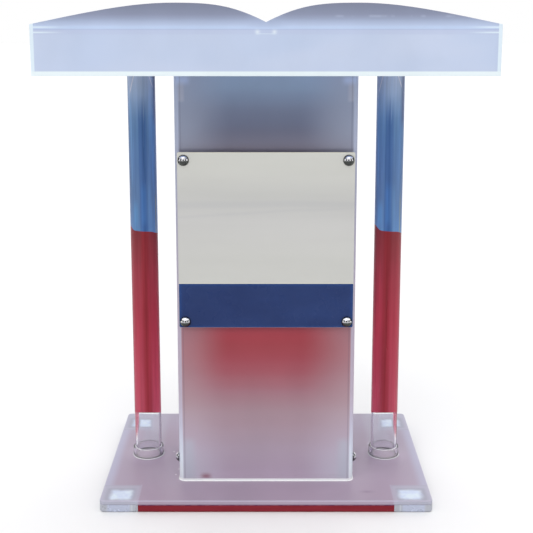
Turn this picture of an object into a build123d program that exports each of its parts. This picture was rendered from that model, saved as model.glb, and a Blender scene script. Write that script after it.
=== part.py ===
from build123d import *
from math import atan2, cos, sin
import os

# Lectern podium in clear and frosted acrylic sheet, screwed and solvent-welded together.
# Millimetres. +Z is up, the audience stands on the -Y side and the speaker on the +Y side.
# Left and right are as the audience sees them, so left is -X.
# The origin is on the floor, in the middle of the base.

# ---- driving dimensions ----
base_width = 764.0
base_depth = 530.0
base_thickness = 10.0
base_corner_radius = 10.0

foot_width = 88.0
foot_depth = 100.0
pad_size = 60.0
pad_drop = 1.5            # how far the pad stands below its foot block
pocket_depth = 8.0        # how far the pad is let into the block
pad_gap = 0.2             # all round the pad in its pocket
block_height = 16.5

column_width = 414.0
column_depth = 220.0
column_setback = 105.0    # from the front edge of the base to the column's front face
sheet = 8.0               # wall of the column and of the desk's front and sides
bend_radius = 15.0        # outside radius of the column's two bends

tube_diameter = 65.0
tube_wall = 4.0
tube_spacing = 594.0      # from axis to axis
tube_setback = 264.0      # from the front edge of the base to the tube axes
collar_diameter = 76.0
collar_height = 22.0
plug_height = 30.0
cement_gap = 0.2          # all round a tube, in its collar, and round what fits inside it
film = 0.4                # thickness of the colour film on the tubes and the sign
film_gap = 0.1            # between a tube and the film wrapped round it
film_clear_foot = 109.0   # clear length of tube under the film, on the axis
film_slant = 0.4          # fall of the film's lower end per unit of depth, towards the speaker
film_change = 581.0       # height over the base where red changes to blue, on the axis
# the wavy cut between the two films, from left to right: offset from the axis, and up or down
film_cut = (
    (-36, 14),
    (-31, 11),
    (-27, 6),
    (-22, 1.8),
    (-14, 0.8),
    (0, 0),
    (14, -1),
    (22, -2.6),
    (28, -6),
    (36, -11),
)

desk_width = 1000.0
desk_depth = 500.0
desk_underside = 996.0
desk_plate = 10.0         # bottom plate and reading plate
corner_height = 1105.0    # outer corners of the front panel
peak_height = 1150.0      # top of each page of the open-book outline
valley_height = 1109.5    # where the two pages meet
peak_offset = 195.0       # from the middle to each peak
reading_front = 1095.0    # top of the reading plate at the front panel
reading_drop = 43.0       # how much lower the reading plate is at the speaker's edge
side_rim = 10.0           # how far the side plates stand over the reading plate
stop_height = 36.0
stop_lean = 3.0           # room that the leaning stop takes behind the reading plate
notch_width = 44.0
notch_depth = 25.0

sign_width = 401.0
sign_bottom = 412.0
sign_top = 820.0
sign_thickness = 5.0
band_top = 516.0
spacer_length = 8.0
sign_inset_x = 14.5
sign_inset_top = 18.0
sign_inset_bottom = 14.0

stud_diameter = 6.0
cap_diameter = 21.6
cap_rim = 2.4
cap_dome = 6.0
ring_diameter = 25.0      # soft washer under each dome cap
ring_thickness = 1.0
nut_across_flats = 10.0
nut_height = 5.0
washer_diameter = 12.0
washer_thickness = 1.5

bracket_width = 32.0
bracket_height = 65.0
bracket_leg = 12.0
bracket_seat = 36.0       # height of the wide upper part
bracket_depth = 40.0
corner_block = 30.0
corner_block_height = 107.0
side_cap_height = 52.0    # of the side caps' axis over the base

screw_shank = 4.0
screw_head = 8.0
screw_length = 26.0

edge = 1.0                # polished bevel on the sheet edges

# ---- levels and places that follow ----
base_underside = pad_drop + block_height
base_top = base_underside + base_thickness
front = -base_depth / 2
column_front = front + column_setback
column_inside = column_width / 2 - sheet
tube_y = front + tube_setback
tube_x = tube_spacing / 2
tube_bore = tube_diameter - 2 * tube_wall
loose_fit = tube_bore - 2 * cement_gap
desk_back = front + desk_depth
panel_back = front + sheet
plate_back = desk_back - sheet - stop_lean
plate_half = desk_width / 2 - sheet
compartment_floor = desk_underside + desk_plate
sign_back = column_front - spacer_length
sign_front = sign_back - sign_thickness
column_length = desk_underside - base_top

STANDING = (Align.CENTER, Align.CENTER, Align.MIN)
LEFT, RIGHT = -1, 1
SIDES = (("left", LEFT), ("right", RIGHT))


def block(x, y, z):
    """A box between two limits along each axis."""
    size = [limits[1] - limits[0] for limits in (x, y, z)]
    middle = [(limits[0] + limits[1]) / 2 for limits in (x, y, z)]
    return Pos(*middle) * Box(*size)


def across_y(diameter, start, stop, x, z):
    """A round bar along Y, from start to stop."""
    bar = Rot(X=90) * Cylinder(diameter / 2, stop - start)
    return Pos(x, (start + stop) / 2, z) * bar


def upright(diameter, bottom, top, x, y):
    """A round bar along Z."""
    return Pos(x, y, (bottom + top) / 2) * Cylinder(diameter / 2, top - bottom)


def both_ways(low, high, side):
    """The limits of a piece at side * x, in rising order."""
    return tuple(sorted((side * low, side * high)))


def stands_at(line, corner):
    """Whether an upright edge stands at a corner given in X and Y."""
    return abs(line.center().X - corner[0]) < 0.01 and abs(line.center().Y - corner[1]) < 0.01


def seat(plane_y):
    """The plane that an audience-side fastener sits on, with its own +Z towards -Y."""
    return Plane(origin=(0, plane_y, 0), x_dir=(1, 0, 0), z_dir=(0, -1, 0))


# ---- base ----
base_screw_x = column_inside - corner_block / 2
base_screw_y = column_front + sheet + corner_block / 2


def base_plate():
    plate = block((-base_width / 2, base_width / 2), (front, -front), (base_underside, base_top))
    plate = fillet(plate.edges().filter_by(Axis.Z), base_corner_radius)
    rims = plate.edges().group_by(Axis.Z)[0] + plate.edges().group_by(Axis.Z)[-1]
    plate = chamfer(rims, edge)
    for _, side in SIDES:
        plate -= countersunk_screw(side * base_screw_x, base_screw_y, base_underside, 1)
    return plate


def countersunk_screw(x, y, face, direction):
    """A screw with its flat head in the given face, pointing up (1) or down (-1)."""
    head_depth = (screw_head - screw_shank) / 2
    head = Cone(screw_head / 2, screw_shank / 2, head_depth, align=STANDING)
    shank = Cylinder(screw_shank / 2, screw_length, align=STANDING)
    screw = head + shank
    if direction < 0:
        screw = Rot(X=180) * screw
    return Pos(x, y, face) * screw


def screw_with_drive(x, y, face, direction):
    """The same screw with a hexagon socket in its head."""
    screw = countersunk_screw(x, y, face, direction)
    socket = extrude(RegularPolygon(screw_shank * 0.36, 6), screw_shank * 0.5, both=True)
    return screw - Pos(x, y, face) * socket


def foot_place(side, end):
    """Limits in X and Y of a corner foot. end is -1 at the audience's edge."""
    x = both_ways(base_width / 2 - foot_width, base_width / 2, side)
    y = both_ways(base_depth / 2 - foot_depth, base_depth / 2, end)
    return x, y


def foot_pad(side, end):
    x, y = foot_place(side, end)
    centre = ((x[0] + x[1]) / 2, (y[0] + y[1]) / 2)
    pad = Pos(centre[0], centre[1], (pad_drop + pocket_depth) / 2)
    pad = pad * Box(pad_size, pad_size, pad_drop + pocket_depth)
    pad = fillet(pad.edges().filter_by(Axis.Z), 4)
    return chamfer(pad.edges().group_by(Axis.Z)[0], 0.6)


def foot_block(side, end):
    x, y = foot_place(side, end)
    foot = block(x, y, (pad_drop, base_underside))
    corner = (side * base_width / 2, end * base_depth / 2)
    outer = foot.edges().filter_by(Axis.Z).filter_by(lambda line: stands_at(line, corner))
    foot = fillet(outer, base_corner_radius)
    foot = chamfer(foot.edges().group_by(Axis.Z)[0], edge)
    pocket = Pos((x[0] + x[1]) / 2, (y[0] + y[1]) / 2, (pad_drop + pocket_depth) / 2)
    pocket_size = pad_size + 2 * pad_gap
    cutter = pocket * Box(pocket_size, pocket_size, pad_drop + pocket_depth)
    return foot - fillet(cutter.edges().filter_by(Axis.Z), 4)


def kick_strip():
    """The red strip that closes the gap under the front edge, between the two front feet."""
    half = base_width / 2 - foot_width
    return block((-half, half), (front + 0.5, front + 0.5 + 6), (pad_drop, base_underside))


# ---- column ----
def column_outline(radius, inset):
    """Half-open U of the bent sheet, seen from above, as a filled outline."""
    half = column_width / 2 - inset
    back = column_front + column_depth
    near = column_front + inset
    outline = FilletPolyline((-half, back), (-half, near), (half, near), (half, back), radius=radius)
    closing = Line(outline @ 1, outline @ 0)
    return make_face([*outline.edges(), closing.edge()])


def sign_points():
    """X, Z and sitting face of each sign fastener."""
    x = sign_width / 2 - sign_inset_x
    upper = sign_top - sign_inset_top
    lower = sign_bottom + sign_inset_bottom
    faces = ((upper, sign_front), (lower, sign_front - film))
    return [(side * x, z, face) for _, side in SIDES for z, face in faces]


side_cap_z = base_top + side_cap_height
side_cap_y = base_screw_y


def column_shell():
    solid = extrude(column_outline(bend_radius, 0), column_length)
    hollow = extrude(column_outline(bend_radius - sheet, sheet), column_length)
    shell = Pos(0, 0, base_top) * (solid - hollow)
    back = column_front + column_depth
    rear = shell.edges().filter_by(Axis.Z).filter_by(lambda line: abs(line.center().Y - back) < 0.01)
    shell = chamfer(rear, edge)
    for x, z, _ in sign_points():
        shell -= across_y(stud_diameter, column_front - 1, column_front + sheet + 1, x, z)
    for _, side in SIDES:
        shell -= side_bolt_hole(side)
    return shell


def side_bolt_hole(side):
    start, stop = both_ways(column_width / 2 - corner_block, column_width / 2 + 1, side)
    bar = Rot(Y=90) * Cylinder(stud_diameter / 2, stop - start)
    return Pos((start + stop) / 2, side_cap_y, side_cap_z) * bar


def bottom_block(side):
    x = both_ways(column_inside - corner_block, column_inside, side)
    y = (column_front + sheet, column_front + sheet + corner_block)
    piece = block(x, y, (base_top, base_top + corner_block_height))
    corner = (side * column_inside, y[0])
    touching = piece.edges().filter_by(Axis.Z).filter_by(lambda line: stands_at(line, corner))
    piece = fillet(touching, bend_radius - sheet)
    piece = chamfer(piece.edges().group_by(Axis.Z)[-1], edge)
    piece -= side_bolt_hole(side)
    return piece - countersunk_screw(side * base_screw_x, base_screw_y, base_underside, 1)


bracket_screw_x = column_inside - bracket_width + 9
bracket_screw_y = [column_front + sheet + bracket_depth * part for part in (0.28, 0.72)]


def top_bracket(side):
    """Stepped block in the column's upper corner, with a wide seat under the desk."""
    top = desk_underside
    bottom = top - bracket_height
    step = top - bracket_seat
    inner = column_inside - bracket_width
    leg = column_inside - bracket_leg
    y = (column_front + sheet, column_front + sheet + bracket_depth)
    piece = block(both_ways(leg, column_inside, side), y, (bottom, top))
    piece += block(both_ways(inner, column_inside, side), y, (step, top))
    corner = (side * column_inside, y[0])
    touching = piece.edges().filter_by(Axis.Z).filter_by(lambda line: stands_at(line, corner))
    piece = fillet(touching, bend_radius - sheet)
    for screw_y in bracket_screw_y:
        piece -= countersunk_screw(side * bracket_screw_x, screw_y, compartment_floor, -1)
    return piece


# ---- dome-capped fasteners ----
def dome_cap():
    """A cap on its own seat: face at z = 0, dome towards +Z, blind hole from below."""
    radius = cap_diameter / 2
    ball = (radius**2 + cap_dome**2) / (2 * cap_dome)
    lower = Cylinder(radius, cap_rim, align=STANDING)
    ball_centre = cap_rim + cap_dome - ball
    dome = Pos(0, 0, ball_centre) * Sphere(ball)
    dome &= Pos(0, 0, cap_rim) * Cylinder(radius, ball, align=STANDING)
    hole = Cylinder(stud_diameter / 2, cap_rim + 2, align=STANDING)
    cap = lower + dome - hole
    return fillet(cap.edges().group_by(Axis.Z)[0].sort_by(Edge.length)[-1], 0.5)


def ring():
    """The soft washer between a cap and what it presses on."""
    solid = Cylinder(ring_diameter / 2, ring_thickness, align=STANDING)
    return solid - Cylinder(stud_diameter / 2, 3 * ring_thickness)


def sign_frame(x, z, face):
    """Place on a sitting face, with the piece's own +Z towards the audience."""
    return Pos(x, 0, z) * seat(face).location


def sign_dome_caps():
    return [sign_frame(x, z, face - ring_thickness) * dome_cap() for x, z, face in sign_points()]


def sign_rings():
    return [sign_frame(x, z, face) * ring() for x, z, face in sign_points()]


stud_back = column_front + sheet + washer_thickness + nut_height + 3


def sign_studs():
    return [
        across_y(stud_diameter, face - ring_thickness - cap_rim - 2, stud_back, x, z)
        for x, z, face in sign_points()
    ]


def sign_spacers():
    pieces = []
    for x, z, _ in sign_points():
        sleeve = across_y(14, sign_back, column_front, x, z)
        pieces.append(sleeve - across_y(stud_diameter, sign_back - 1, column_front + 1, x, z))
    return pieces


def sign_washers():
    start = column_front + sheet
    pieces = []
    for x, z, _ in sign_points():
        disc = across_y(washer_diameter, start, start + washer_thickness, x, z)
        pieces.append(disc - across_y(stud_diameter, start - 1, start + washer_thickness + 1, x, z))
    return pieces


def sign_nuts():
    start = column_front + sheet + washer_thickness
    prism = extrude(RegularPolygon(nut_across_flats / 2, 6, major_radius=False), nut_height)
    nut = prism - Cylinder(stud_diameter / 2, 3 * nut_height)
    return [sign_frame(x, z, start + nut_height) * nut for x, z, _ in sign_points()]


def sideways(side, distance):
    """Place on a column side wall, with the piece's own +Z pointing outwards."""
    face = Plane(origin=(side * distance, side_cap_y, side_cap_z), x_dir=(0, 1, 0), z_dir=(side, 0, 0))
    return face.location


def column_side_caps():
    seat_x = column_width / 2 + ring_thickness
    return [sideways(side, seat_x) * dome_cap() for _, side in SIDES]


def column_side_rings():
    return [sideways(side, column_width / 2) * ring() for _, side in SIDES]


def column_side_bolts():
    inner = column_width / 2 - corner_block
    outer = column_width / 2 + ring_thickness + cap_rim + 2
    bolt = Cylinder(stud_diameter / 2, outer - inner, align=STANDING)
    return [sideways(side, inner) * bolt for _, side in SIDES]


# ---- sign ----
def sign_board():
    half = sign_width / 2
    board = block((-half, half), (sign_front, sign_back), (sign_bottom, sign_top))
    board = fillet(board.edges().filter_by(Axis.Y), 4)
    board = chamfer(board.edges().group_by(Axis.Y)[0], 0.6)
    for x, z, _ in sign_points():
        board -= across_y(stud_diameter, sign_front - 1, sign_back + 1, x, z)
    return board


def sign_band():
    half = sign_width / 2 - 0.6
    band = block((-half, half), (sign_front - film, sign_front), (sign_bottom + 0.6, band_top))
    lower = band.edges().filter_by(Axis.Y).sort_by(Axis.Z)[:2]
    band = fillet(lower, 3.4)
    for x, z, _ in sign_points():
        band -= across_y(stud_diameter, sign_front - 1, sign_front + 1, x, z)
    return band


# ---- tubes ----
def pipe(outer, inner, bottom, top, side):
    x = side * tube_x
    return upright(outer, bottom, top, x, tube_y) - upright(inner, bottom - 1, top + 1, x, tube_y)


def tube(side):
    return pipe(tube_diameter, tube_bore, base_top, desk_underside, side)


def tube_collar(side):
    bore = tube_diameter + 2 * cement_gap
    collar = pipe(collar_diameter, bore, base_top, base_top + collar_height, side)
    return chamfer(collar.edges().group_by(Axis.Z)[-1].sort_by(Edge.length)[-1], edge)


def tube_plug(side):
    plug = upright(loose_fit, desk_underside - plug_height, desk_underside, side * tube_x, tube_y)
    plug = chamfer(plug.edges().group_by(Axis.Z)[0], 3)
    return plug - countersunk_screw(side * tube_x, tube_y, compartment_floor, -1)


def bare_foot(side):
    """The space round a tube's foot that the film leaves clear, under the film's slanted end."""
    reach = collar_diameter / 2
    end = base_top + film_clear_foot
    points = (
        (tube_y - reach, base_top - 1),
        (tube_y + reach, base_top - 1),
        (tube_y + reach, end - film_slant * reach),
        (tube_y - reach, end + film_slant * reach),
    )
    return profile(points, both_ways(tube_x - reach, tube_x + reach, side))


def tube_film(side, upper):
    """Colour film wrapped round a tube, from its clear foot to the desk, on one side of the cut."""
    inner = tube_diameter + 2 * film_gap
    sleeve = pipe(inner + 2 * film, inner, base_top, desk_underside, side) - bare_foot(side)
    reach = column_length if upper else -column_length
    start, end = film_cut[0], film_cut[-1]
    cut = Spline(*film_cut)
    rest = Polyline(end, (end[0], reach), (start[0], reach), start)
    region = Plane.XZ * make_face([*cut.edges(), *rest.edges()])
    keep = extrude(region, tube_diameter, both=True)
    return sleeve & (Pos(side * tube_x, tube_y, base_top + film_change) * keep)


# ---- desk ----
def page_outline(side):
    """Top edge of one page: a long rise from the outer corner, then a fall into the valley."""
    corner = (side * desk_width / 2, corner_height)
    shoulder = (side * (peak_offset + 155), corner_height + 0.66 * (peak_height - corner_height))
    peak = (side * peak_offset, peak_height)
    knee = (side * 0.4 * peak_offset, peak_height - 0.25 * (peak_height - valley_height))
    valley = (0, valley_height)
    rise = Spline(corner, shoulder, peak, tangents=((-side, 0.21), (-side, 0)))
    fall = Spline(peak, knee, valley, tangents=((-side, 0), (-side, -0.52)))
    return rise + fall


def front_panel():
    half = desk_width / 2
    sheet_edges = [
        page_outline(LEFT),
        page_outline(RIGHT),
        Line((-half, corner_height), (-half, desk_underside)),
        Line((-half, desk_underside), (half, desk_underside)),
        Line((half, desk_underside), (half, corner_height)),
    ]
    lines = [line for part in sheet_edges for line in part.edges()]
    face = Plane.XZ.offset(-front) * make_face(lines)
    panel = extrude(face, -sheet)
    straight = panel.edges().group_by(Axis.Y)[0].filter_by(GeomType.LINE)
    return chamfer(straight, edge)


def bottom_plate():
    plate = block((-plate_half, plate_half), (panel_back, desk_back), (desk_underside, compartment_floor))
    plate = chamfer(plate.edges().filter_by(Axis.X).group_by(Axis.Y)[-1], edge)
    for _, side in SIDES:
        plate -= countersunk_screw(side * tube_x, tube_y, compartment_floor, -1)
        for screw_y in bracket_screw_y:
            plate -= countersunk_screw(side * bracket_screw_x, screw_y, compartment_floor, -1)
    return plate


def slope_height(y):
    """Top of the reading plate at a given depth."""
    return reading_front - reading_drop * (y - panel_back) / (plate_back - panel_back)


def from_plate_end(along, up):
    """A point in Y and Z, measured from the reading plate's top rear edge, along and square to it."""
    angle = atan2(reading_drop, plate_back - panel_back)
    y = plate_back + along * cos(angle) + up * sin(angle)
    z = slope_height(plate_back) - along * sin(angle) + up * cos(angle)
    return y, z


def profile(points, x):
    """A flat piece drawn in Y and Z, between two limits along X."""
    outline = Plane.YZ.offset(x[0]) * make_face(Polyline(*points, close=True).edges())
    return extrude(outline, x[1] - x[0])


def side_plate(side):
    points = (
        (panel_back, desk_underside),
        (desk_back, desk_underside),
        (desk_back, slope_height(desk_back) + side_rim),
        (panel_back, reading_front + side_rim),
    )
    plate = profile(points, both_ways(plate_half, desk_width / 2, side))
    outer = plate.edges().filter_by(lambda line: abs(line.center().X - side * desk_width / 2) < 0.01)
    behind = outer.filter_by(lambda line: line.center().Y > panel_back + 1)
    return chamfer(behind.filter_by(lambda line: line.center().Z > desk_underside + 1), edge)


def reading_plate():
    points = (
        (panel_back, slope_height(panel_back) - desk_plate),
        from_plate_end(0, -desk_plate),
        from_plate_end(0, 0),
        (panel_back, slope_height(panel_back)),
    )
    plate = profile(points, (-plate_half, plate_half))
    x = (-notch_width / 2, notch_width / 2)
    notch = block(x, (panel_back - notch_depth, panel_back + notch_depth), (desk_underside, peak_height))
    return plate - fillet(notch.edges().filter_by(Axis.Z), 8)


def paper_stop():
    """Strip across the speaker's edge of the reading plate, square to it."""
    top = stop_height - desk_plate
    points = (
        from_plate_end(0, -desk_plate),
        from_plate_end(sheet, -desk_plate),
        from_plate_end(sheet, top),
        from_plate_end(0, top),
    )
    stop = profile(points, (-plate_half, plate_half))
    return chamfer(stop.edges().filter_by(Axis.X).sort_by(Axis.Z)[-2:], edge)


# ---- fastener groups ----
def tube_top_screws():
    return [screw_with_drive(side * tube_x, tube_y, compartment_floor, -1) for _, side in SIDES]


def bracket_screws():
    return [
        screw_with_drive(side * bracket_screw_x, screw_y, compartment_floor, -1)
        for _, side in SIDES
        for screw_y in bracket_screw_y
    ]


def base_screws():
    return [screw_with_drive(side * base_screw_x, base_screw_y, base_underside, 1) for _, side in SIDES]


def nodes():
    """Every sub-part by its name. A list is a group of separate solids."""
    table = {
        "base_plate": base_plate(),
        "base_kick_strip": kick_strip(),
        "base_screws": base_screws(),
        "column_shell": column_shell(),
        "column_side_caps": column_side_caps(),
        "column_side_rings": column_side_rings(),
        "column_side_bolts": column_side_bolts(),
        "sign_board": sign_board(),
        "sign_band": sign_band(),
        "sign_dome_caps": sign_dome_caps(),
        "sign_rings": sign_rings(),
        "sign_studs": sign_studs(),
        "sign_spacers": sign_spacers(),
        "sign_washers": sign_washers(),
        "sign_nuts": sign_nuts(),
        "tube_top_screws": tube_top_screws(),
        "bracket_screws": bracket_screws(),
        "desk_front_panel": front_panel(),
        "desk_bottom_plate": bottom_plate(),
        "desk_reading_plate": reading_plate(),
        "desk_paper_stop": paper_stop(),
    }
    for name, side in SIDES:
        for place, end in (("front", -1), ("rear", 1)):
            table[f"foot_{place}_{name}"] = foot_block(side, end)
            table[f"foot_pad_{place}_{name}"] = foot_pad(side, end)
        table[f"column_bottom_block_{name}"] = bottom_block(side)
        table[f"column_top_bracket_{name}"] = top_bracket(side)
        table[f"tube_{name}"] = tube(side)
        table[f"tube_collar_{name}"] = tube_collar(side)
        table[f"tube_top_plug_{name}"] = tube_plug(side)
        table[f"tube_film_blue_{name}"] = tube_film(side, upper=True)
        table[f"tube_film_red_{name}"] = tube_film(side, upper=False)
        table[f"desk_side_{name}"] = side_plate(side)
    return table


os.makedirs("parts", exist_ok=True)
for node, shape in nodes().items():
    if isinstance(shape, list):
        shape = Compound(children=shape)
    export_step(shape, f"parts/{node}.step")
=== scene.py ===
import math
import bmesh
import bpy
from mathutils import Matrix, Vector


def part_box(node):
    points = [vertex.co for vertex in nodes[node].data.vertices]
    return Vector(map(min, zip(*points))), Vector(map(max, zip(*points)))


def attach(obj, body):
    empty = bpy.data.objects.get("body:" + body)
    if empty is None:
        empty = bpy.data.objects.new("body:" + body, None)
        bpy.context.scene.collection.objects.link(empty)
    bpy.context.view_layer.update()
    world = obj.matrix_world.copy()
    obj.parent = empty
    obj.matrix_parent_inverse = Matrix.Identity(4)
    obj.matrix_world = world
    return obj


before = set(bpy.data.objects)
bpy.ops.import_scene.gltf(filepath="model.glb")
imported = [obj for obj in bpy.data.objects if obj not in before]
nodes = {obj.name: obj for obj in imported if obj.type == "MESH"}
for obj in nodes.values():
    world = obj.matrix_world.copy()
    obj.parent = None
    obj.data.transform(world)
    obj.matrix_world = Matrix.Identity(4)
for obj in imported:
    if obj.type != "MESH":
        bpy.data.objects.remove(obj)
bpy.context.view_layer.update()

# ---- places read from the frame, in metres ----
BASE_LOW, BASE_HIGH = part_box("base_plate")
COLUMN_LOW, COLUMN_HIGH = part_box("column_shell")
SIGN_LOW, SIGN_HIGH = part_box("sign_board")
BAND_LOW, BAND_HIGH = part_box("sign_band")
PANEL_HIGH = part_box("desk_front_panel")[1]
PLATE_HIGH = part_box("desk_reading_plate")[1]
BOTTOM_PLATE_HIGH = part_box("desk_bottom_plate")[1]
PAD_LOW, PAD_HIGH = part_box("foot_pad_front_right")
FOOT_LOW, FOOT_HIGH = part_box("foot_front_right")
TUBE_LOW, TUBE_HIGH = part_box("tube_right")
RED_LOW, RED_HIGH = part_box("tube_film_red_right")
BLUE_LOW, BLUE_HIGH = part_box("tube_film_blue_right")
COLLAR_LOW, COLLAR_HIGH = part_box("tube_collar_right")
BRACKET_LOW, BRACKET_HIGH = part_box("column_top_bracket_right")
CORNER_LOW, CORNER_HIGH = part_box("column_bottom_block_right")
TUBE = (TUBE_LOW + TUBE_HIGH) / 2
TUBE_RADIUS = (TUBE_HIGH.x - TUBE_LOW.x) / 2
COLLAR_RADIUS = (COLLAR_HIGH.x - COLLAR_LOW.x) / 2
SHEET = 0.008        # thickness of the desk's and the column's sheets
TUBE_WALL = 0.004
BEND = 0.015         # outside radius of the column's bends
SEEN_NEARER = 0.018  # how much nearer the audience the feet show through the frosted base
EYE_TURN = 0.043     # how far each tube's face turns towards the eye, in half turns
SHADE_LIFT = 0.62    # how much lighter a film is on the side that the column shades
SHADE_LIFT_AT_TOP = 0.30


def middle(low, high):
    return (low + high) / 2


# ---- a short way to write node trees ----
class Shader:
    """One material: its tree, its Principled shader and small builders for the usual nodes."""

    def __init__(self, name):
        self.material = bpy.data.materials.new(name)
        self.material.use_nodes = True
        self.tree = self.material.node_tree
        self.tree.nodes.clear()
        self.shader = self.node("ShaderNodeBsdfPrincipled")
        output = self.node("ShaderNodeOutputMaterial")
        self.tree.links.new(self.shader.outputs["BSDF"], output.inputs["Surface"])
        self.place = self.node("ShaderNodeTexCoord").outputs["Object"]
        self.x, self.y, self.z = self.split(self.place)
        self.across = self.math("ABSOLUTE", self.x)

    def node(self, kind, **settings):
        made = self.tree.nodes.new(kind)
        for key, value in settings.items():
            setattr(made, key, value)
        return made

    def split(self, vector):
        made = self.node("ShaderNodeSeparateXYZ")
        self.tree.links.new(vector, made.inputs[0])
        return made.outputs

    def plug(self, value, socket):
        """A link if value is a socket, a plain number or colour otherwise."""
        if isinstance(value, bpy.types.NodeSocket):
            self.tree.links.new(value, socket)
        elif isinstance(value, (tuple, list)) and socket.type == "RGBA":
            socket.default_value = (*value[:3], 1)
        else:
            socket.default_value = value

    def set(self, name, value):
        self.plug(value, self.shader.inputs[name])

    def math(self, operation, a, b=0.0):
        made = self.node("ShaderNodeMath", operation=operation)
        self.plug(a, made.inputs[0])
        self.plug(b, made.inputs[1])
        return made.outputs[0]

    def product(self, *values):
        total = values[0]
        for value in values[1:]:
            total = self.math("MULTIPLY", total, value)
        return total

    def most(self, *values):
        total = values[0]
        for value in values[1:]:
            total = self.math("MAXIMUM", total, value)
        return total

    def step(self, value, start, stop, low=0.0, high=1.0):
        """Smooth change from low to high as value goes from start to stop."""
        made = self.node("ShaderNodeMapRange", interpolation_type="SMOOTHSTEP")
        for index, number in enumerate((value, start, stop, low, high)):
            self.plug(number, made.inputs[index])
        return made.outputs[0]

    def near(self, value, centre, half, blur):
        """1 where value is within half of centre, falling to 0 over a blurred edge."""
        distance = self.math("ABSOLUTE", self.math("SUBTRACT", value, centre))
        return self.step(distance, half - blur, half + blur, 1.0, 0.0)

    def patch(self, *spans):
        """1 inside every span (value, centre, half, blur), falling to 0 outside any of them."""
        return self.product(*(self.near(*span) for span in spans))

    def mix(self, factor, a, b, strength=1.0):
        """Colour a, turning to b as factor goes from 0 to 1."""
        made = self.node("ShaderNodeMix", data_type="RGBA")
        if strength != 1.0:
            factor = self.math("MULTIPLY", factor, strength)
        self.plug(factor, made.inputs[0])
        self.plug(a, made.inputs[6])
        self.plug(b, made.inputs[7])
        return made.outputs[2]

    def times(self, colour, factor):
        """A colour made lighter or darker by a factor."""
        made = self.node("ShaderNodeMix", data_type="RGBA", blend_type="MULTIPLY")
        made.inputs[0].default_value = 1.0
        self.plug(colour, made.inputs[6])
        self.tree.links.new(factor, made.inputs[7])
        return made.outputs[2]

    def ramp(self, value, stops):
        """A smooth line of colours through (position, colour) stops."""
        made = self.node("ShaderNodeValToRGB")
        made.color_ramp.interpolation = "CARDINAL"
        low, high = stops[0][0], stops[-1][0]
        scaled = self.node("ShaderNodeMapRange")
        for index, number in enumerate((value, low, high, 0.0, 1.0)):
            self.plug(number, scaled.inputs[index])
        self.tree.links.new(scaled.outputs[0], made.inputs[0])
        items = made.color_ramp.elements
        while len(items) < len(stops):
            items.new(0.5)
        for item, (position, colour) in zip(items, stops):
            item.position = (position - low) / (high - low)
            item.color = (*colour, 1)
        return made.outputs[0]

    def noise(self, scale, detail=2.0, stretch=(1, 1, 1), roughness=0.5):
        mapping = self.node("ShaderNodeMapping")
        mapping.inputs["Scale"].default_value = stretch
        self.tree.links.new(self.place, mapping.inputs[0])
        made = self.node("ShaderNodeTexNoise")
        self.tree.links.new(mapping.outputs[0], made.inputs["Vector"])
        made.inputs["Scale"].default_value = scale
        made.inputs["Detail"].default_value = detail
        made.inputs["Roughness"].default_value = roughness
        return made.outputs[0]

    def normal(self, axis):
        """The surface's own direction along an axis, -1 to 1."""
        geometry = self.node("ShaderNodeNewGeometry")
        return self.split(geometry.outputs["True Normal"])["XYZ".index(axis)]

    def bump(self, height, distance, strength=1.0):
        made = self.node("ShaderNodeBump")
        made.inputs["Strength"].default_value = strength
        made.inputs["Distance"].default_value = distance
        self.tree.links.new(height, made.inputs["Height"])
        self.tree.links.new(made.outputs[0], self.shader.inputs["Normal"])


def paint(material, *names):
    """Gives a CAD node, or a made piece, one material."""
    for name in names:
        piece = nodes[name] if isinstance(name, str) else name
        piece.data.materials.clear()
        piece.data.materials.append(material)


def both(name):
    return [f"{name}_left", f"{name}_right"]


# ---- colours, linear, as they show under the studio light ----
# cut edges of the frosted sheets, painted bright as the glow along polished acrylic edges
PAINTED_EDGE_GLOW = (0.80, 0.90, 0.97)
TUBE_WALL_TINT = (0.89, 0.86, 0.93)
RED_FILM_REFLECTION = (0.42, 0.05, 0.10)
VEIN = (0.70, 0.66, 0.68)
PALE_FLOOR = (0.93, 0.93, 0.935)
MIRRORED_GREY = (0.50, 0.50, 0.51)
FLAG_BLACK = (0.02, 0.02, 0.022)
ACRYLIC_IOR = 1.49


def satin(s, colour, clearness, roughness=0.42):
    """Sanded acrylic: a fine tooth, faint smears, light scratches and soft light through it."""
    tooth = s.noise(1400, 3)
    smear = s.noise(9, 4, (1, 1, 0.6))
    scratch = s.step(s.noise(60, 6, (1, 0.15, 12), 0.75), 0.66, 0.72)
    s.set("Base Color", s.times(colour, s.step(smear, 0.3, 0.7, 0.975, 1.025)))
    gloss = s.step(smear, 0.3, 0.7, roughness - 0.05, roughness + 0.05)
    s.set("Roughness", s.math("SUBTRACT", gloss, s.math("MULTIPLY", scratch, 0.08)))
    s.set("Transmission Weight", clearness)
    s.set("IOR", ACRYLIC_IOR)
    s.set("Specular IOR Level", 0.3)
    s.bump(s.math("ADD", tooth, s.math("MULTIPLY", scratch, 0.4)), 0.00012, 0.5)
    return s.material


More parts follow.
